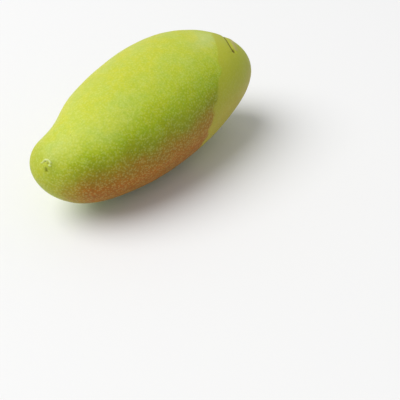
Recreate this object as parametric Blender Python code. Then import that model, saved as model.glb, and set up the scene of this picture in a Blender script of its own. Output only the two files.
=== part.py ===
"""A whole green mango, lying at rest on a small flat spot.

Metres, +Z up. X runs from the beaked tip (-X) to the stem end (+X). The origin
is the middle of the fruit's box, on the level that the fruit rests on.

The fruit is shaped in its growing frame first: X from tip to stem, Y from the
back to the beak side, Z from one cheek to the other. It is then rolled and
tipped into the way it lies, and a thin slice is taken off where it touches.
"""
import math

import bmesh
import bpy
from mathutils import Matrix, Vector

# Driving dimensions of the body, in the growing frame
HALF_LENGTH = 0.0788
# Each of these is a cosine series along the fruit, from tip to stem: its mean, then
# its lean to one end, its swell at both ends, and finer swells
HALF_HEIGHT = (0.0384, 0.0002, 0.00225, 0.0014, 0.0005)
HALF_THICKNESS = (0.0375, -0.0042, 0.00195)
BEND_TO_BEAK_SIDE = (0.0, 0.0, -0.00125, 0.00195)
BEND_TO_CHEEK = (0.0, 0.0, 0.0007, -0.0013)
# How much thinner the beak side's half of a section is than the back's
EGG_SHAPE = 0.08

# Local features: the middle, how far it reaches, and the push that it gives
SINUS = ((-0.0576, 0.028, 0.0), (0.015, 0.026, 0.030), (0.0, -0.00485, 0.0))
STEM_HOLLOW = ((0.0708, 0.0138, 0.0090), (0.0060, 0.0060, 0.0060), (-0.0012, -0.0010, -0.0005))
BEAK_NUB = ((-0.0742, 0.0016, 0.0110), (0.0030, 0.0030, 0.0030), (-0.0008, 0.0001, 0.0006))

# How the fruit lies, and the slice taken off where it touches
ROLL = math.radians(40.0)
STEM_END_LIFT = math.radians(3.0)
FLAT_DEPTH = 0.0005

# Mesh
SEGMENTS = 56
RINGS = 36
SLIVER = 0.00002

# Skin
SKIN_GREEN = (0.42, 0.55, 0.07, 1.0)
SKIN_ROUGHNESS = 0.45


def clear_scene():
    """Remove every object that the scene starts with."""
    for obj in list(bpy.data.objects):
        bpy.data.objects.remove(obj, do_unlink=True)


def series(weights, angle):
    """The value of a cosine series at an angle from the tip."""
    return sum(weight * math.cos(order * angle) for order, weight in enumerate(weights))


def push_locally(point, feature):
    """Move a point by a feature's push, which fades out over the feature's reach."""
    middle, reach, push = feature
    away = sum(((p - m) / r) ** 2 for p, m, r in zip(point, middle, reach))
    return point + Vector(push) * math.exp(-away)


def skin_point(direction):
    """The point of the skin that a direction of the unit sphere is stretched to."""
    angle = math.acos(max(-1.0, min(1.0, -direction.x)))
    egg = 1.0 - EGG_SHAPE * direction.y
    point = Vector((
        HALF_LENGTH * direction.x,
        series(BEND_TO_BEAK_SIDE, angle) + series(HALF_HEIGHT, angle) * direction.y,
        series(BEND_TO_CHEEK, angle) + series(HALF_THICKNESS, angle) * direction.z * egg,
    ))
    for feature in (SINUS, STEM_HOLLOW, BEAK_NUB):
        point = push_locally(point, feature)
    return point


def shape_body(bm):
    """Stretch a unit sphere, whose poles are the tip and the stem end, to the fruit."""
    bmesh.ops.create_uvsphere(bm, u_segments=SEGMENTS, v_segments=RINGS, radius=1.0)
    poles_along_x = Matrix.Rotation(math.radians(90.0), 3, "Y")
    for vert in bm.verts:
        vert.co = skin_point((poles_along_x @ vert.co).normalized())


def lay_down(bm):
    """Roll and tip the fruit into the way it lies, and slice its touching spot flat."""
    lie = Matrix.Rotation(-STEM_END_LIFT, 3, "Y") @ Matrix.Rotation(ROLL, 3, "X")
    bmesh.ops.rotate(bm, verts=bm.verts, cent=(0.0, 0.0, 0.0), matrix=lie)
    lowest = min(vert.co.z for vert in bm.verts)
    bmesh.ops.translate(bm, verts=bm.verts, vec=(0.0, 0.0, -lowest - FLAT_DEPTH))
    everything = bm.verts[:] + bm.edges[:] + bm.faces[:]
    cut = bmesh.ops.bisect_plane(bm, geom=everything, dist=SLIVER, plane_co=(0.0, 0.0, 0.0),
                                 plane_no=(0.0, 0.0, 1.0), clear_inner=True)
    rim = [item for item in cut["geom_cut"] if isinstance(item, bmesh.types.BMEdge)]
    bmesh.ops.edgeloop_fill(bm, edges=rim)
    bmesh.ops.dissolve_degenerate(bm, dist=SLIVER, edges=bm.edges[:])
    for vert in bm.verts:
        if abs(vert.co.z) < SLIVER:
            vert.co.z = 0.0


def centre_on_origin(bm):
    """Bring the middle of the fruit's box over the origin."""
    xs = [vert.co.x for vert in bm.verts]
    ys = [vert.co.y for vert in bm.verts]
    middle = Vector((-(min(xs) + max(xs)) / 2.0, -(min(ys) + max(ys)) / 2.0, 0.0))
    bmesh.ops.translate(bm, verts=bm.verts, vec=middle)


def skin_material():
    """The waxy green skin."""
    material = bpy.data.materials.new("mango_skin")
    material.use_nodes = True
    shader = material.node_tree.nodes["Principled BSDF"]
    shader.inputs["Base Color"].default_value = SKIN_GREEN
    shader.inputs["Roughness"].default_value = SKIN_ROUGHNESS
    shader.inputs["Metallic"].default_value = 0.0
    return material


def build_mango():
    """The whole fruit, as one closed body."""
    bm = bmesh.new()
    shape_body(bm)
    lay_down(bm)
    centre_on_origin(bm)
    bmesh.ops.recalc_face_normals(bm, faces=bm.faces[:])
    mesh = bpy.data.meshes.new("mango")
    bm.to_mesh(mesh)
    bm.free()
    mesh.shade_smooth()
    mesh.materials.append(skin_material())
    mango = bpy.data.objects.new("mango", mesh)
    collection = bpy.data.collections.new("Mango")
    bpy.context.scene.collection.children.link(collection)
    collection.objects.link(mango)


clear_scene()
build_mango()
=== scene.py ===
"""The looks of a whole green mango that lies at rest: its fine skin, its finish and a plain studio.

Metres, +Z up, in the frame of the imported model. The fruit is shaped in its growing frame, with
X from the beaked tip to the stem end, Y from the back to the beak side and Z from one cheek to
the other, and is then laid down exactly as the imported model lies. Places on the skin are given
in millimetres of the growing frame.
"""
import logging
import math
from dataclasses import dataclass, field
from enum import Enum

import bmesh
import bpy
import numpy as np
from mathutils import Matrix, Vector


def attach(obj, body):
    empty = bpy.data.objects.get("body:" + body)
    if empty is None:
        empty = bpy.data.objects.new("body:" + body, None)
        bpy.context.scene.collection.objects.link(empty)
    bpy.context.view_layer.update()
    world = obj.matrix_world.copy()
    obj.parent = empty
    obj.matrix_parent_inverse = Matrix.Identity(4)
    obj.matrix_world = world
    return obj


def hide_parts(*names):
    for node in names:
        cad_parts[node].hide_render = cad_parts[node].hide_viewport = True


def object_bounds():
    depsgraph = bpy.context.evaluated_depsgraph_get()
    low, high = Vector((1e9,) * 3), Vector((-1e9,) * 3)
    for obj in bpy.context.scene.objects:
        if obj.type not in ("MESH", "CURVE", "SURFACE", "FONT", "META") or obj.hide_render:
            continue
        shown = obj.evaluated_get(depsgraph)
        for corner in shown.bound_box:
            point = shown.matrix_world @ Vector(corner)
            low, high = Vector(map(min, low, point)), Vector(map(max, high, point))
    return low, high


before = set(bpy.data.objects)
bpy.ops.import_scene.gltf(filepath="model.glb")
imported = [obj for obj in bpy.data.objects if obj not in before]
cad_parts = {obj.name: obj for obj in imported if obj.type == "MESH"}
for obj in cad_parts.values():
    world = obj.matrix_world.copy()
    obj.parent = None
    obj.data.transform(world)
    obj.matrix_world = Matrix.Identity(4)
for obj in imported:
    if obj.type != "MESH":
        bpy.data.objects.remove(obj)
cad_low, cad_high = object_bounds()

log = logging.getLogger("mango")

Triple = tuple[float, float, float]
Feed = bpy.types.NodeSocket | float | tuple[float, ...]
MM = 0.001
BAKE_MAP = "OFBake"
GROWN = "grown_place"


class Mark(Enum):
    """A small feature of the skin. The mesh holds its share at each point as an attribute."""

    CREASE = "crease"
    LIP = "crease_lip"
    SCAR = "stem_scar"
    RIM = "stem_rim"
    NUB = "beak_nub"
    DIMPLE = "beak_dimple"
    NICK = "nick"
    SHOULDER = "stem_shoulder"


def smooth_step(value: np.ndarray, start: float, end: float) -> np.ndarray:
    """A smooth share that is 0 at the start value and 1 at the end value.

    Args:
        value: the values to place between the two.
        start: the value where the share is 0.
        end: the value where it is 1, which may be the smaller one.

    Returns:
        The share for each value.
    """
    step = np.clip((value - start) / (end - start), 0.0, 1.0)
    return step * step * (3.0 - 2.0 * step)


@dataclass(frozen=True)
class Push:
    """A broad move of the skin that fades out around its middle, in the growing frame."""

    middle: Triple
    reach: Triple
    push: Triple

    def moved(self, points: np.ndarray) -> np.ndarray:
        """The points after this push."""
        away = (((points - self.middle) / self.reach) ** 2).sum(axis=1, keepdims=True)
        return points + np.asarray(self.push) * np.exp(-away)


@dataclass(frozen=True)
class GrowingForm:
    """The body's form as it grew. Each tuple of weights is a cosine series from tip to stem."""

    half_length: float = 0.0788
    half_height: tuple[float, ...] = (0.0384, 0.0002, 0.00225, 0.0014, 0.0005)
    half_thickness: tuple[float, ...] = (0.0375, -0.0042, 0.00195)
    bend_to_beak_side: tuple[float, ...] = (0.0, 0.0, -0.00125, 0.00195)
    bend_to_cheek: tuple[float, ...] = (0.0, 0.0, 0.0007, -0.0013)
    egg_shape: float = 0.08
    pushes: tuple[Push, ...] = (
        Push((-0.0576, 0.028, 0.0), (0.015, 0.026, 0.030), (0.0, -0.00485, 0.0)),
        Push((0.0708, 0.0138, 0.0090), (0.0060, 0.0060, 0.0060), (-0.0012, -0.0010, -0.0005)),
        Push((-0.0742, 0.0016, 0.0110), (0.0030, 0.0030, 0.0030), (-0.0008, 0.0001, 0.0006)),
    )

    @staticmethod
    def series(weights: tuple[float, ...], angle: np.ndarray) -> np.ndarray:
        """The value of a cosine series at each angle from the tip."""
        return sum(weight * np.cos(order * angle) for order, weight in enumerate(weights))

    def skin_points(self, directions: np.ndarray) -> np.ndarray:
        """Stretch directions of the unit sphere to the skin.

        Args:
            directions: unit vectors, one a row.

        Returns:
            The points of the skin in the growing frame.
        """
        x, y, z = directions.T
        angle = np.arccos(np.clip(-x, -1.0, 1.0))
        egg = 1.0 - self.egg_shape * y
        points = np.column_stack((
            self.half_length * x,
            self.series(self.bend_to_beak_side, angle) + self.series(self.half_height, angle) * y,
            self.series(self.bend_to_cheek, angle) + self.series(self.half_thickness, angle) * z * egg,
        ))
        for push in self.pushes:
            points = push.moved(points)
        return points


@dataclass(frozen=True)
class RestingLie:
    """How the fruit lies: rolled and tipped, and pressed flat where it touches."""

    roll: float = math.radians(40.0)
    stem_end_lift: float = math.radians(3.0)
    flat_depth: float = 0.0005

    def turn(self) -> Matrix:
        """The rotation from the growing frame to the way the fruit lies."""
        return Matrix.Rotation(-self.stem_end_lift, 3, "Y") @ Matrix.Rotation(self.roll, 3, "X")

    def laid(self, points: np.ndarray, body: np.ndarray) -> np.ndarray:
        """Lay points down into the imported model's box.

        Args:
            points: the points to lay down, in the growing frame.
            body: the body's points without fine relief, which say where the box is.

        Returns:
            The points in the row frame, none of them under the floor.
        """
        turn = np.array(self.turn()).T
        low, high = (body @ turn).min(axis=0), (body @ turn).max(axis=0)
        middle = (cad_low + cad_high) / 2.0
        shift = (
            middle.x - (low[0] + high[0]) / 2.0,
            middle.y - (low[1] + high[1]) / 2.0,
            -low[2] - self.flat_depth,
        )
        placed = points @ turn + shift
        placed[:, 2] = np.maximum(placed[:, 2], 0.0)
        return placed


@dataclass(frozen=True)
class Waves:
    """A smooth random field: a sum of waves that run in random directions, of deviation 1."""

    length: float
    seed: int
    count: int = 20

    def values(self, points: np.ndarray) -> np.ndarray:
        """The field at each point. The length is in the points' own unit."""
        chance = np.random.default_rng(self.seed)
        directions = chance.normal(size=(self.count, 3))
        directions /= np.linalg.norm(directions, axis=1, keepdims=True)
        lengths = self.length * chance.uniform(0.7, 1.6, self.count)
        phases = chance.uniform(0.0, 2.0 * math.pi, self.count)
        turns = points @ (directions * (2.0 * math.pi / lengths[:, None])).T + phases
        return np.sin(turns).sum(axis=1) / math.sqrt(self.count / 2.0)


@dataclass(frozen=True)
class Fold:
    """A ridge along a line on the skin, or a groove where its height is under zero, in mm."""

    mark: Mark
    line: tuple[Triple, ...]
    half_width: float
    height: float
    colour_share: float = 1.0
    cut_off: float = 9.0

    def distance(self, points: np.ndarray, normals: np.ndarray) -> np.ndarray:
        """How far each point of the skin is from the line, measured along the skin.

        Args:
            points: the skin's points in mm.
            normals: its outward normals.

        Returns:
            The distance of each point in mm, without end for points past the cut-off.
        """
        nearest = np.full(len(points), np.inf)
        for start, end in zip(self.line, self.line[1:] or self.line):
            start, run = np.array(start), np.subtract(end, start)
            share = np.clip((points - start) @ run / max(run @ run, 1e-9), 0.0, 1.0)
            offset = points - start - share[:, None] * run
            straight = np.linalg.norm(offset, axis=1)
            offset -= normals * (offset * normals).sum(axis=1, keepdims=True)
            along_skin = np.where(straight < self.cut_off, np.linalg.norm(offset, axis=1), np.inf)
            nearest = np.minimum(nearest, along_skin)
        return nearest

    def share(self, points: np.ndarray, normals: np.ndarray) -> np.ndarray:
        """The fold's share at each point: 1 on its line, fading to 0 beside it."""
        return np.exp(-((self.distance(points, normals) / self.half_width) ** 2))


SCAR_MIDDLE = (70.8, 13.8, 9.0)
BEAK_MIDDLE = (-73.8, 2.8, 11.6)
CREASE_LINE = (
    (69.3, 13.9, 12.2), (65.5, 13.9, 17.2), (61.6, 11.2, 22.0), (59.8, 8.6, 24.5),
    (57.9, 5.6, 26.3), (57.0, 3.0, 27.1), (56.9, 0.9, 27.3),
)
LIP_LINE = ((70.6, 10.2, 14.0), (66.8, 9.2, 19.0), (62.6, 5.6, 23.9), (60.2, 1.6, 25.9))
NUB_LINE = ((-74.5, 5.0, 10.1), (-73.5, 4.9, 11.6), (-72.5, 3.9, 13.2), (-72.3, 2.4, 13.6))

FOLDS = (
    Fold(Mark.LIP, CREASE_LINE[1:], 2.2, -0.20, 0.0),
    Fold(Mark.CREASE, CREASE_LINE, 0.62, -0.32),
    Fold(Mark.CREASE, ((57.1, 1.8, 27.2), (56.9, 0.6, 27.3)), 1.10, -0.38),
    Fold(Mark.CREASE, ((56.9, 0.9, 27.3), (54.3, 1.0, 28.3), (51.4, 1.1, 29.1)), 0.50, -0.12, 0.35),
    Fold(Mark.CREASE, ((56.9, 0.9, 27.3), (57.4, -0.8, 27.1), (58.3, -2.4, 26.7)), 0.55, -0.14, 0.40),
    Fold(Mark.LIP, LIP_LINE, 2.0, 0.30),
    Fold(Mark.NUB, NUB_LINE, 0.75, 0.55),
    Fold(Mark.NUB, ((-73.3, 1.6, 12.6), (-73.1, 1.2, 12.9)), 0.60, 0.45),
    Fold(Mark.DIMPLE, ((-75.0, 0.9, 10.3), (-75.1, 0.4, 10.2)), 0.95, -0.55),
    Fold(Mark.DIMPLE, ((-75.2, 0.2, 10.0), (-75.8, -0.8, 9.1)), 0.45, -0.15, 0.45),
    Fold(Mark.NICK, ((-73.2, 2.8, 12.5),), 0.42, -0.30, 1.0),
    Fold(Mark.NICK, ((-73.7, 4.3, 11.5), (-73.5, 4.0, 11.8)), 0.34, -0.22, 0.8),
    Fold(Mark.NICK, ((-58.3, 8.0, 21.2),), 0.40, -0.10, 0.9),
    Fold(Mark.NICK, ((-14.6, -27.6, 22.8), (-13.2, -27.8, 22.3)), 0.50, -0.12, 0.7),
    Fold(Mark.NICK, ((-17.2, -28.0, 21.6),), 0.45, -0.10, 0.6),
)


@dataclass(frozen=True)
class StemScar:
    """The round corky scar where the stalk broke off, in mm: a plug in a ring, and a puckered rim."""

    middle: Triple = SCAR_MIDDLE
    plug_radius: float = 2.5
    plug_height: float = 0.55
    ring_radius: float = 3.2
    ring_width: float = 0.55
    ring_depth: float = 0.65
    rim_radius: float = 4.8
    rim_width: float = 1.5
    rim_height: float = 0.35
    pucker_count: int = 11
    pucker_depth: float = 0.16
    cork_grain: Waves = Waves(length=0.9, seed=31)

    def relief(self, points: np.ndarray, normals: np.ndarray) -> tuple[np.ndarray, ...]:
        """Shape the scar.

        Args:
            points: the skin's points in mm.
            normals: its outward normals.

        Returns:
            The scar's height in mm, the cork's share and the rim's share at each point.
        """
        dot = Fold(Mark.SCAR, (self.middle,), 1.0, 0.0, cut_off=16.0)
        away = dot.distance(points, normals)
        offset = points - self.middle
        around = np.arctan2(offset[:, 2], offset @ (0.58, -0.81, 0.0))
        plug = smooth_step(away, self.plug_radius + 0.4, self.plug_radius - 0.3)
        ring = np.exp(-(((away - self.ring_radius) / self.ring_width) ** 2))
        rim = np.exp(-(((away - self.rim_radius) / self.rim_width) ** 2))
        pucker = rim * np.cos(self.pucker_count * around + np.sin(2.0 * around))
        grain = self.cork_grain.values(points)
        height = plug * (self.plug_height + 0.08 * grain) - self.ring_depth * ring
        height += self.rim_height * rim - self.pucker_depth * pucker
        return height, np.clip(plug + ring, 0.0, 1.0), rim


@dataclass(frozen=True)
class SkinRelief:
    """Everything that stands up from the smooth body or sinks into it, in mm."""

    folds: tuple[Fold, ...] = FOLDS
    scar: StemScar = field(default_factory=StemScar)
    wander: Waves = Waves(length=3.4, seed=5)
    wander_width: float = 0.16
    swells: tuple[tuple[Waves, float], ...] = (
        (Waves(length=34.0, seed=2), 0.055),
        (Waves(length=15.0, seed=11), 0.035),
        (Waves(length=6.5, seed=23), 0.010),
    )
    inset: float = 0.10
    shoulder_line: tuple[Triple, Triple] = ((52.5, 15.3, 24.5), (43.5, 4.5, 30.8))
    shoulder_facing: Triple = (0.25, 0.30, 0.90)

    def over(self, body: np.ndarray, normals: np.ndarray) -> tuple[np.ndarray, dict[Mark, np.ndarray]]:
        """Lay the relief over the smooth body.

        Args:
            body: the smooth body's points in metres, in the growing frame.
            normals: its outward normals.

        Returns:
            The points with the relief, and each mark's share at each point.
        """
        points = body / MM
        marks = {mark: np.zeros(len(points)) for mark in Mark}
        height = np.full(len(points), -self.inset)
        for waves, swell in self.swells:
            height += swell * waves.values(points)
        loose = points + self.wander_width * self.wander.values(points)[:, None]
        for fold in self.folds:
            share = fold.share(loose, normals)
            height += fold.height * share
            marks[fold.mark] = np.maximum(marks[fold.mark], share * fold.colour_share)
        scar_height, marks[Mark.SCAR], marks[Mark.RIM] = self.scar.relief(points, normals)
        marks[Mark.SHOULDER] = self.shoulder(points)
        return body + normals * ((height + scar_height) * MM)[:, None], marks

    def shoulder(self, points: np.ndarray) -> np.ndarray:
        """The share of the stem end's own patch of skin, which has a fairly clear edge."""
        start, end = (np.array(place) for place in self.shoulder_line)
        across = np.cross(end - start, self.shoulder_facing)
        across *= np.sign(across[0]) / np.linalg.norm(across)
        beyond = (points - start) @ across + 0.8 * Waves(length=9.0, seed=7).values(points)
        return smooth_step(beyond, -1.2, 1.6)


@dataclass(frozen=True)
class SkinGrid:
    """The even mesh that the skin is made of: a cube's six grids swelled to a sphere."""

    rows: int = 110
    refined: tuple[tuple[tuple[Triple, ...], float], ...] = (
        (CREASE_LINE, 3.4), (CREASE_LINE, 1.7),
        ((SCAR_MIDDLE,), 6.8), ((SCAR_MIDDLE,), 4.0),
        ((BEAK_MIDDLE,), 5.6), ((BEAK_MIDDLE,), 3.8),
    )
    chart_gap: float = 0.004
    side_chart: tuple[float, float] = (0.57, 0.25)

    def build(self, form: GrowingForm) -> tuple[bmesh.types.BMesh, np.ndarray]:
        """Make the mesh and stretch it to the body's form.

        Args:
            form: the body's form.

        Returns:
            The mesh, whose points are still on the unit sphere, and the body's point for each.
        """
        bm = bmesh.new()
        bmesh.ops.create_cube(bm, size=2.0)
        bmesh.ops.subdivide_edges(bm, edges=bm.edges[:], cuts=self.rows - 1, use_grid_fill=True)
        for vert in bm.verts:
            vert.co = Vector([math.tan(c * math.pi / 4.0) for c in vert.co]).normalized()
        for line, radius in self.refined:
            self.refine(bm, form, line, radius)
        self.unwrap(bm)
        body = form.skin_points(self.directions(bm))
        for vert, point in zip(bm.verts, body):
            vert.co = point
        bm.normal_update()
        return bm, body

    @staticmethod
    def directions(bm: bmesh.types.BMesh) -> np.ndarray:
        """The mesh's points as rows."""
        return np.array([vert.co[:] for vert in bm.verts])

    def refine(self, bm: bmesh.types.BMesh, form: GrowingForm, line: tuple[Triple, ...],
               radius: float) -> None:
        """Halve the faces of a stretch of skin.

        Args:
            bm: the mesh on the unit sphere.
            form: the body's form, which says where each face comes to lie.
            line: the line that the stretch follows, in mm.
            radius: how far the stretch reaches from its line, in mm.
        """
        points = form.skin_points(self.directions(bm)) / MM
        inside = Fold(Mark.NICK, line, radius, 0.0).distance(points, np.zeros_like(points)) < radius
        bm.verts.ensure_lookup_table()
        bm.verts.index_update()
        edges = [edge for edge in bm.edges if all(inside[vert.index] for vert in edge.verts)]
        bmesh.ops.subdivide_edges(bm, edges=edges, cuts=1, use_grid_fill=True)
        for vert in bm.verts:
            vert.co.normalize()

    def unwrap(self, bm: bmesh.types.BMesh) -> None:
        """Give the mesh a map of six charts: four long ones for the sides, two for the ends."""
        layer = bm.loops.layers.uv.new(BAKE_MAP)
        long_side, row = self.side_chart
        for face in bm.faces:
            middle = face.calc_center_median()
            axis = max(range(3), key=lambda i: abs(middle[i]))
            side = int(middle[axis] > 0.0)
            if axis == 0:
                corner, size = (long_side, 0.5 * side), (1.0 - long_side, 0.5)
            else:
                corner, size = (0.0, row * (2 * (axis - 1) + side)), (long_side, row)
            others = [i for i in range(3) if i != axis]
            for loop in face.loops:
                co = loop.vert.co
                shares = [0.5 + math.atan(co[i] / abs(co[axis])) * 2.0 / math.pi for i in others]
                loop[layer].uv = [
                    start + self.chart_gap + (width - 2.0 * self.chart_gap) * share
                    for start, width, share in zip(corner, size, shares)
                ]


class Blend(Enum):
    """How one colour is laid over another."""

    COVER = "MIX"
    TINT = "MULTIPLY"


class NodeBoard:
    """Places the nodes of one tree and joins them."""

    def __init__(self, tree: bpy.types.NodeTree) -> None:
        """Take the tree to work on."""
        self.tree = tree

    def add(self, kind: str, feeds: dict[str | int, Feed] | None = None,
            **settings: object) -> bpy.types.Node:
        """Place a node.

        Args:
            kind: the node's type.
            feeds: what goes into its sockets, by name or number: a socket, a number or a tuple.
            settings: the node's own options.

        Returns:
            The node.
        """
        node = self.tree.nodes.new(kind)
        for name, setting in settings.items():
            setattr(node, name, setting)
        for key, feed in (feeds or {}).items():
            self.feed(node.inputs[key], feed)
        return node

    def feed(self, socket: bpy.types.NodeSocket, feed: Feed) -> None:
        """Join a socket to another one, or set it."""
        if isinstance(feed, bpy.types.NodeSocket):
            self.tree.links.new(feed, socket)
        else:
            socket.default_value = feed

    def sum(self, operation: str, *terms: Feed) -> bpy.types.NodeSocket:
        """The outcome of a sum with numbers."""
        return self.add("ShaderNodeMath", dict(enumerate(terms)), operation=operation).outputs[0]

    def aim(self, operation: str, *terms: Feed) -> bpy.types.NodeSocket:
        """The outcome of a sum with vectors."""
        return self.add("ShaderNodeVectorMath", dict(enumerate(terms)), operation=operation).outputs[0]

    def scaled(self, vector: Feed, scale: Feed) -> bpy.types.NodeSocket:
        """A vector made longer or shorter."""
        feeds = {0: vector, "Scale": scale}
        return self.add("ShaderNodeVectorMath", feeds, operation="SCALE").outputs[0]

    def measure(self, operation: str, *terms: Feed) -> bpy.types.NodeSocket:
        """The number that a sum with vectors gives."""
        node = self.add("ShaderNodeVectorMath", dict(enumerate(terms)), operation=operation)
        return node.outputs["Value"]

    def stretch(self, value: Feed, start: float, end: float, low: Feed = 0.0,
                high: Feed = 1.0) -> bpy.types.NodeSocket:
        """Take a value smoothly from one range to another.

        Args:
            value: the value.
            start: the value that gives the low end.
            end: the value that gives the high end.
            low: the low end.
            high: the high end.

        Returns:
            The stretched value.
        """
        feeds = {"Value": value, "From Min": start, "From Max": end, "To Min": low, "To Max": high}
        node = self.add("ShaderNodeMapRange", feeds, interpolation_type="SMOOTHSTEP")
        return node.outputs["Result"]

    def cover(self, share: Feed, under: Feed, over: Feed,
              blend: Blend = Blend.COVER) -> bpy.types.NodeSocket:
        """Lay one colour over another.

        Args:
            share: how much of the upper colour shows.
            under: the lower colour.
            over: the upper colour.
            blend: how the upper colour works.

        Returns:
            The blended colour.
        """
        node = self.add("ShaderNodeMix", data_type="RGBA", blend_type=blend.value)
        for number, feed in ((0, share), (6, under), (7, over)):
            is_colour = isinstance(feed, tuple) and len(feed) == 3
            self.feed(node.inputs[number], (*feed, 1.0) if is_colour else feed)
        return node.outputs[2]

    def noise(self, place: Feed, length: float, detail: float = 2.0,
              roughness: float = 0.5) -> bpy.types.Node:
        """A noise texture whose features are about as large as the length."""
        feeds = {"Vector": place, "Scale": 1.0 / length, "Detail": detail, "Roughness": roughness}
        return self.add("ShaderNodeTexNoise", feeds)


class EffectGroup:
    """A shader node group with named inputs and outputs, built once."""

    name: str = ""
    takes: tuple[tuple[str, str], ...] = ()
    gives: tuple[str, ...] = ()

    def __init__(self) -> None:
        """Make the group's tree and its sockets, and fill it."""
        self.tree = bpy.data.node_groups.new(self.name, "ShaderNodeTree")
        for label, kind in self.takes:
            self.tree.interface.new_socket(label, in_out="INPUT", socket_type=kind)
        for label in self.gives:
            self.tree.interface.new_socket(label, in_out="OUTPUT", socket_type="NodeSocketFloat")
        board = NodeBoard(self.tree)
        self.entry = board.add("NodeGroupInput").outputs
        self.exit = board.add("NodeGroupOutput").inputs
        self.fill(board)

    def fill(self, board: NodeBoard) -> None:
        """Place the group's nodes."""
        raise NotImplementedError

    def place(self, board: NodeBoard, feeds: dict[str | int, Feed]) -> bpy.types.Node:
        """Put the group in a material, with what goes into its inputs."""
        node = board.add("ShaderNodeGroup", node_tree=self.tree)
        for name, feed in feeds.items():
            board.feed(node.inputs[name], feed)
        return node


class SoftPatch(EffectGroup):
    """A soft round patch: its mask is 1 in the middle and fades out at its reach."""

    name = "soft_patch"
    takes = (("Place", "NodeSocketVector"), ("Middle", "NodeSocketVector"),
             ("Reach", "NodeSocketVector"), ("Strength", "NodeSocketFloat"))
    gives = ("Mask",)

    def fill(self, board: NodeBoard) -> None:
        """Place the group's nodes."""
        offset = board.aim("SUBTRACT", self.entry["Place"], self.entry["Middle"])
        away = board.measure("LENGTH", board.aim("DIVIDE", offset, self.entry["Reach"]))
        fall = board.stretch(away, 1.45, 0.25)
        board.feed(self.exit["Mask"], board.sum("MULTIPLY", fall, self.entry["Strength"]))


class PaleDots(EffectGroup):
    """The skin's fine speckle: small pale dots, some run together, on a darker ground."""

    name = "pale_dots"
    takes = (("Place", "NodeSocketVector"), ("Spacing", "NodeSocketFloat"))
    gives = ("Dots", "Grain")

    def fill(self, board: NodeBoard) -> None:
        """Place the group's nodes."""
        place, spacing = self.entry["Place"], self.entry["Spacing"]
        pitch = board.sum("DIVIDE", 1.0, spacing)
        bend_feeds = {"Vector": place, "Scale": board.sum("MULTIPLY", pitch, 0.55)}
        bend = board.add("ShaderNodeTexNoise", bend_feeds).outputs["Color"]
        sway = board.scaled(board.aim("SUBTRACT", bend, (0.5, 0.5, 0.5)), board.sum("MULTIPLY", spacing, 1.3))
        cell_feeds = {"Vector": board.aim("ADD", place, sway), "Scale": pitch, "Randomness": 0.95}
        cells = board.add("ShaderNodeTexVoronoi", cell_feeds)
        chance = board.add("ShaderNodeSeparateColor", {0: cells.outputs["Color"]}).outputs[0]
        size = board.sum("MULTIPLY_ADD", chance, 0.22, 0.26)
        near = board.sum("SUBTRACT", size, cells.outputs["Distance"])
        board.feed(self.exit["Dots"], board.stretch(near, -0.20, 0.14))
        grain_feeds = {"Vector": place, "Detail": 1.5, "Scale": board.sum("MULTIPLY", pitch, 1.15)}
        grain = board.add("ShaderNodeTexNoise", grain_feeds).outputs["Fac"]
        board.feed(self.exit["Grain"], board.stretch(grain, 0.30, 0.70))


@dataclass(frozen=True)
class RipeningWithPaintedLight:
    """The skin's colour by the angle around the fruit from the line of its blush, with painted shade on the
    lower side, a painted warm reflection in the blush and painted sheen on top.
    """

    blush_line: Triple = (0.0, -0.966, 0.259)
    ground: tuple[tuple[float, Triple], ...] = (
        # 0 to 58 degrees, the lower side: darkened with painted shade; the orange blush is partly the skin's
        #                                  own, partly a painted warm reflection.
        (0.0, (0.345, 0.115, 0.001)),
        (13.0, (0.385, 0.130, 0.001)),
        (28.0, (0.335, 0.180, 0.001)),
        (43.0, (0.285, 0.305, 0.003)),
        (58.0, (0.365, 0.475, 0.016)),
        (74.0, (0.465, 0.575, 0.045)),
        (90.0, (0.500, 0.595, 0.075)),
        # 110 to 180 degrees, the top: paler with painted sheen.
        (110.0, (0.510, 0.580, 0.065)),
        (150.0, (0.540, 0.580, 0.110)),
        (180.0, (0.520, 0.570, 0.090)),
    )

    def angle(self, board: NodeBoard, place: Feed) -> bpy.types.NodeSocket:
        """The angle from the blush line at each place, as a share of half a turn."""
        flat = board.aim("NORMALIZE", board.aim("MULTIPLY", place, (0.0, 1.0, 1.0)))
        cosine = board.measure("DOT_PRODUCT", flat, self.blush_line)
        return board.sum("DIVIDE", board.sum("ARCCOSINE", cosine), math.pi)

    def colour(self, board: NodeBoard, angle: Feed) -> bpy.types.NodeSocket:
        """The colour for each angle, with its painted shade, reflection and sheen."""
        ramp = board.add("ShaderNodeValToRGB", {"Fac": angle})
        stops = ramp.color_ramp.elements
        while len(stops) < len(self.ground):
            stops.new(0.5)
        for stop, (degrees, colour) in zip(stops, self.ground):
            stop.position = degrees / 180.0
            stop.color = (*colour, 1.0)
        return ramp.outputs["Color"]


@dataclass(frozen=True)
class Patch:
    """A patch of skin with a colour of its own, or with painted sheen: its middle and reach in mm."""

    middle: Triple
    reach: Triple
    colour: Triple
    strength: float
    blend: Blend = Blend.COVER


PATCHES: dict[str, Patch] = {
    "tip end": Patch((-82.0, 0.0, 2.0), (16.0, 40.0, 40.0), (0.415, 0.465, 0.040), 0.95),
    # Pale band across the top where the lamp's broad highlight falls on the waxy skin: painted sheen.
    "bloom and painted sheen band": Patch((-42.0, 1.0, 30.0), (17.0, 9.0, 12.0), (0.520, 0.620, 0.130), 0.55),
    "bloom on the beak": Patch((-65.0, 4.0, 19.0), (9.0, 9.0, 9.0), (0.500, 0.590, 0.150), 0.60),
    "bloom by the stem": Patch((44.0, 16.0, 27.0), (13.0, 10.0, 10.0), (0.590, 0.655, 0.210), 0.75),
}


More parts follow.
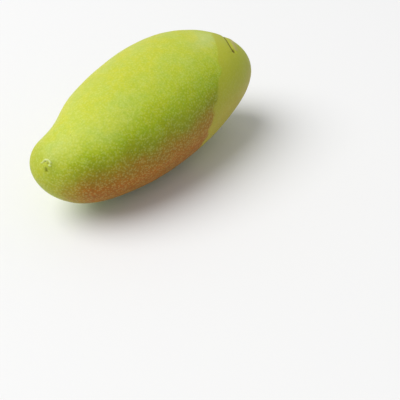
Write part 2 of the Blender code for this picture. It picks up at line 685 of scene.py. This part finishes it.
@dataclass(frozen=True)
class MangoFinish:
    """The fruit's waxy speckled skin, as one material."""

    ripeness_with_painted_light: RipeningWithPaintedLight = field(default_factory=RipeningWithPaintedLight)
    dot_spacing: float = 1.25
    dot_colour: Triple = (0.66, 0.74, 0.24)
    gap_tint: Triple = (0.80, 0.86, 0.55)
    cloud_tint: Triple = (1.07, 1.00, 0.62)
    dapple_tint: Triple = (0.93, 0.97, 0.90)
    # Dark brown of the crease: partly the scarred skin's own colour, partly painted shade in the groove.
    crease_colour_with_shade: Triple = (0.115, 0.085, 0.010)
    lip_colour: Triple = (0.50, 0.42, 0.17)
    cork_colour: Triple = (0.22, 0.13, 0.055)
    rim_colour: Triple = (0.40, 0.33, 0.12)
    shoulder_colour: Triple = (0.46, 0.46, 0.035)
    # Pale yellow of the beak's nub: partly the style scar's own paler skin, partly a painted highlight along
    # its ridge.
    nub_colour_with_highlight: Triple = (0.58, 0.66, 0.26)
    # Dark olive of the dimple below the nub: partly the skin's own colour, partly painted shade in the pit.
    dimple_colour_with_shade: Triple = (0.20, 0.23, 0.0)
    nick_colour: Triple = (0.20, 0.17, 0.06)
    shine: float = 0.22
    nub_gloss_roughness: float = 0.14

    def build(self) -> bpy.types.Material:
        """Make the material."""
        material = bpy.data.materials.new("mango_skin")
        material.use_nodes = True
        board = NodeBoard(material.node_tree)
        shader = material.node_tree.nodes["Principled BSDF"]
        shader.inputs["Specular IOR Level"].default_value = self.shine
        shader.inputs["Coat Roughness"].default_value = self.nub_gloss_roughness
        grown = board.add("ShaderNodeAttribute", attribute_name=GROWN).outputs["Vector"]
        place = board.scaled(grown, 1.0 / MM)
        marks = {
            mark: board.add("ShaderNodeAttribute", attribute_name=mark.value).outputs["Fac"]
            for mark in Mark
        }
        loose = self.loose_place(board, place)
        angle = self.ripeness_with_painted_light.angle(board, loose)
        # The ramp's colour holds painted shade on the lower side, a painted warm reflection in the blush and
        # painted sheen on top.
        colour = self.ripeness_with_painted_light.colour(board, angle)
        colour = self.patched(board, colour, loose)
        colour = self.mottled(board, colour, place)
        speckle = PaleDots().place(board, {"Place": place, "Spacing": self.dot_spacing}).outputs
        colour = self.speckled(board, colour, angle, speckle)
        colour = self.marked(board, colour, marks)
        board.feed(shader.inputs["Base Color"], colour)
        board.feed(shader.inputs["Roughness"], self.roughness(board, angle, speckle["Grain"], marks))
        board.feed(shader.inputs["Coat Weight"], board.stretch(marks[Mark.NUB], 0.25, 0.9, 0.0, 0.8))
        board.feed(shader.inputs["Normal"], self.fine_bump(board, place, speckle, marks))
        return material

    def loose_place(self, board: NodeBoard, place: Feed) -> bpy.types.NodeSocket:
        """Places moved about by noise, so that the patches get uneven edges."""
        offset = board.aim("SUBTRACT", board.noise(place, 15.0, 3.0, 0.6).outputs["Color"], (0.5,) * 3)
        return board.aim("ADD", place, board.aim("MULTIPLY", offset, (16.0, 11.0, 11.0)))

    def patched(self, board: NodeBoard, colour: Feed, place: Feed) -> bpy.types.NodeSocket:
        """Lay the patches over the ground colour; the pale band across the top is painted sheen."""
        soft_patch = SoftPatch()
        for label, patch in PATCHES.items():
            feeds = {"Place": place, "Middle": patch.middle, "Reach": patch.reach,
                     "Strength": patch.strength}
            node = soft_patch.place(board, feeds)
            node.label = label
            colour = board.cover(node.outputs["Mask"], colour, patch.colour, patch.blend)
        return colour

    def mottled(self, board: NodeBoard, colour: Feed, place: Feed) -> bpy.types.NodeSocket:
        """Vary the colour softly, in clouds of about a fingertip's size and smaller dapples."""
        for length, strength, tint in ((11.0, 1.0, self.cloud_tint), (3.6, 0.9, self.dapple_tint)):
            share = board.stretch(board.noise(place, length).outputs["Fac"], 0.35, 0.65, 0.0, strength)
            colour = board.cover(share, colour, tint, Blend.TINT)
        return colour

    def speckled(self, board: NodeBoard, colour: Feed, angle: Feed,
                 speckle: bpy.types.NodeOutputs) -> bpy.types.NodeSocket:
        """Lay the fine speckle over the colour, stronger towards the shaded, greener side."""
        gap = board.sum("SUBTRACT", 1.0, speckle["Grain"])
        gap = board.sum("MULTIPLY", gap, board.stretch(angle, 0.62, 0.25, 0.45, 0.95))
        colour = board.cover(gap, colour, self.gap_tint, Blend.TINT)
        dot = board.sum("MULTIPLY", speckle["Dots"], board.stretch(angle, 0.62, 0.25, 0.18, 0.20))
        return board.cover(dot, colour, self.dot_colour)

    def marked(self, board: NodeBoard, colour: Feed,
               marks: dict[Mark, Feed]) -> bpy.types.NodeSocket:
        """Colour the small features, the later ones over the earlier ones. The crease and the dimple hold
        painted shade along with their own darker colour, and the nub a painted highlight over its paler skin.
        """
        layers = (
            (Mark.SHOULDER, 0.10, 1.0, 0.70, self.shoulder_colour),
            (Mark.RIM, 0.15, 1.0, 0.80, self.rim_colour),
            (Mark.LIP, 0.20, 1.0, 0.75, self.lip_colour),
            # The crease: dark brown with painted shade in the groove.
            (Mark.CREASE, 0.15, 0.85, 0.85, self.crease_colour_with_shade),
            (Mark.SCAR, 0.20, 0.90, 1.0, self.cork_colour),
            # The nub: paler skin with a painted highlight.
            (Mark.NUB, 0.30, 0.95, 0.65, self.nub_colour_with_highlight),
            # The dimple: dark olive with painted shade in the pit.
            (Mark.DIMPLE, 0.15, 0.90, 0.85, self.dimple_colour_with_shade),
            (Mark.NICK, 0.20, 0.90, 0.70, self.nick_colour),
        )
        for mark, start, end, strength, over in layers:
            colour = board.cover(board.stretch(marks[mark], start, end, 0.0, strength), colour, over)
        return colour

    def roughness(self, board: NodeBoard, angle: Feed, grain: Feed,
                  marks: dict[Mark, Feed]) -> bpy.types.NodeSocket:
        """How dull the skin is: duller under its powdery bloom, and dullest on the cork."""
        uneven = board.sum("MULTIPLY_ADD", grain, 0.08, board.stretch(angle, 0.2, 0.6, 0.44, 0.54))
        cork = board.sum("MAXIMUM", marks[Mark.SCAR], marks[Mark.CREASE])
        return board.sum("MAXIMUM", uneven, board.sum("MULTIPLY", cork, 0.8))

    def fine_bump(self, board: NodeBoard, place: Feed, speckle: bpy.types.NodeOutputs,
                  marks: dict[Mark, Feed]) -> bpy.types.NodeSocket:
        """The relief that is too fine for the mesh, in mm: the dots, the grain and the cork's."""
        height = board.sum("MULTIPLY_ADD", speckle["Dots"], 0.012,
                           board.sum("MULTIPLY", speckle["Grain"], 0.020))
        cork = board.sum("MULTIPLY", board.noise(place, 0.5, 3.0).outputs["Fac"], marks[Mark.SCAR])
        height = board.sum("MULTIPLY_ADD", cork, 0.20, height)
        return board.add("ShaderNodeBump", {"Height": height, "Distance": MM}).outputs["Normal"]


@dataclass
class MangoSkin:
    """The fruit's skin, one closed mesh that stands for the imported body."""

    form: GrowingForm = field(default_factory=GrowingForm)
    lie: RestingLie = field(default_factory=RestingLie)
    grid: SkinGrid = field(default_factory=SkinGrid)
    relief: SkinRelief = field(default_factory=SkinRelief)
    finish: MangoFinish = field(default_factory=MangoFinish)

    def build(self) -> bpy.types.Object:
        """Make the skin's mesh, lay it down and dress it."""
        bm, body = self.grid.build(self.form)
        normals = np.array([vert.normal[:] for vert in bm.verts])
        mesh = bpy.data.meshes.new("mango_skin")
        bm.to_mesh(mesh)
        bm.free()
        points, marks = self.relief.over(body, normals)
        laid = self.lie.laid(points, body)
        mesh.vertices.foreach_set("co", laid.astype(np.float32).ravel())
        mesh.update()
        mesh.shade_smooth()
        place = mesh.attributes.new(GROWN, "FLOAT_VECTOR", "POINT")
        place.data.foreach_set("vector", body.astype(np.float32).ravel())
        for mark, share in marks.items():
            attribute = mesh.attributes.new(mark.value, "FLOAT", "POINT")
            attribute.data.foreach_set("value", share.astype(np.float32))
        mesh.materials.append(self.finish.build())
        skin = bpy.data.objects.new("mango_skin", mesh)
        bpy.context.scene.collection.objects.link(skin)
        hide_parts("mango")
        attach(skin, "root")
        return skin


@dataclass(frozen=True)
class Studio:
    """A plain pale floor, soft light from the upper left, and the camera."""

    floor_size: float = 6.0
    floor_albedo: float = 0.84
    world_light: float = 0.45
    aim: Triple = (-0.0056, -0.0482, 0.0)
    azimuth: float = -46.6
    elevation: float = 41.7
    distance: float = 0.350
    lens: float = 54.2
    sensor: float = 36.0
    key_side: float = -80.0
    key_elevation: float = 58.0
    key_distance: float = 5.0
    key_size: float = 4.6
    key_power: float = 238.0

    @staticmethod
    def direction(azimuth: float, elevation: float) -> Vector:
        """The direction back from the fruit to a camera or lamp at these angles in degrees."""
        a, e = math.radians(azimuth), math.radians(elevation)
        return Vector((math.sin(a) * math.cos(e), -math.cos(a) * math.cos(e), math.sin(e)))

    def build(self) -> None:
        """Make the floor, the lights, the world and the camera."""
        self.make_floor()
        self.make_key()
        self.make_world()
        self.make_camera()

    def make_floor(self) -> None:
        """The pale floor, level with the fruit's flat spot."""
        mesh = bpy.data.meshes.new("floor")
        bm = bmesh.new()
        bmesh.ops.create_grid(bm, x_segments=1, y_segments=1, size=self.floor_size / 2.0)
        bm.to_mesh(mesh)
        bm.free()
        floor = bpy.data.objects.new("floor", mesh)
        bpy.context.scene.collection.objects.link(floor)
        material = bpy.data.materials.new("pale_floor")
        material.use_nodes = True
        shader = material.node_tree.nodes["Principled BSDF"]
        shader.inputs["Base Color"].default_value = (*[self.floor_albedo] * 3, 1.0)
        shader.inputs["Roughness"].default_value = 0.9
        shader.inputs["Specular IOR Level"].default_value = 0.1
        mesh.materials.append(material)

    def make_key(self) -> None:
        """The large soft lamp."""
        lamp = bpy.data.lights.new("key", "AREA")
        lamp.shape = "DISK"
        lamp.size = self.key_size
        lamp.energy = self.key_power
        key = bpy.data.objects.new("key", lamp)
        back = self.direction(self.azimuth + self.key_side, self.key_elevation)
        key.location = back * self.key_distance
        key.rotation_euler = back.to_track_quat("Z", "Y").to_euler()
        bpy.context.scene.collection.objects.link(key)

    def make_world(self) -> None:
        """The even white light all round."""
        world = bpy.data.worlds.new("studio")
        world.use_nodes = True
        background = world.node_tree.nodes["Background"]
        background.inputs["Color"].default_value = (1.0, 1.0, 1.0, 1.0)
        background.inputs["Strength"].default_value = self.world_light
        bpy.context.scene.world = world
        bpy.context.scene.view_settings.view_transform = "Standard"

    def make_camera(self) -> None:
        """The camera at the photograph's angle and framing."""
        camera = bpy.data.cameras.new("camera")
        camera.lens = self.lens
        camera.sensor_width = self.sensor
        camera.clip_start = 0.01
        holder = bpy.data.objects.new("camera", camera)
        back = self.direction(self.azimuth, self.elevation)
        holder.location = Vector(self.aim) + back * self.distance
        holder.rotation_euler = back.to_track_quat("Z", "Y").to_euler()
        bpy.context.scene.collection.objects.link(holder)
        bpy.context.scene.camera = holder


def main() -> None:
    """Build the fruit and its studio."""
    logging.basicConfig(level=logging.INFO, format="%(name)s: %(message)s")
    Studio().build()
    log.info("studio built")
    skin = MangoSkin().build()
    triangles = sum(len(polygon.vertices) - 2 for polygon in skin.data.polygons)
    log.info("%s: %d faces, %d triangles", skin.name, len(skin.data.polygons), triangles)


if __name__ == "__main__":
    main()
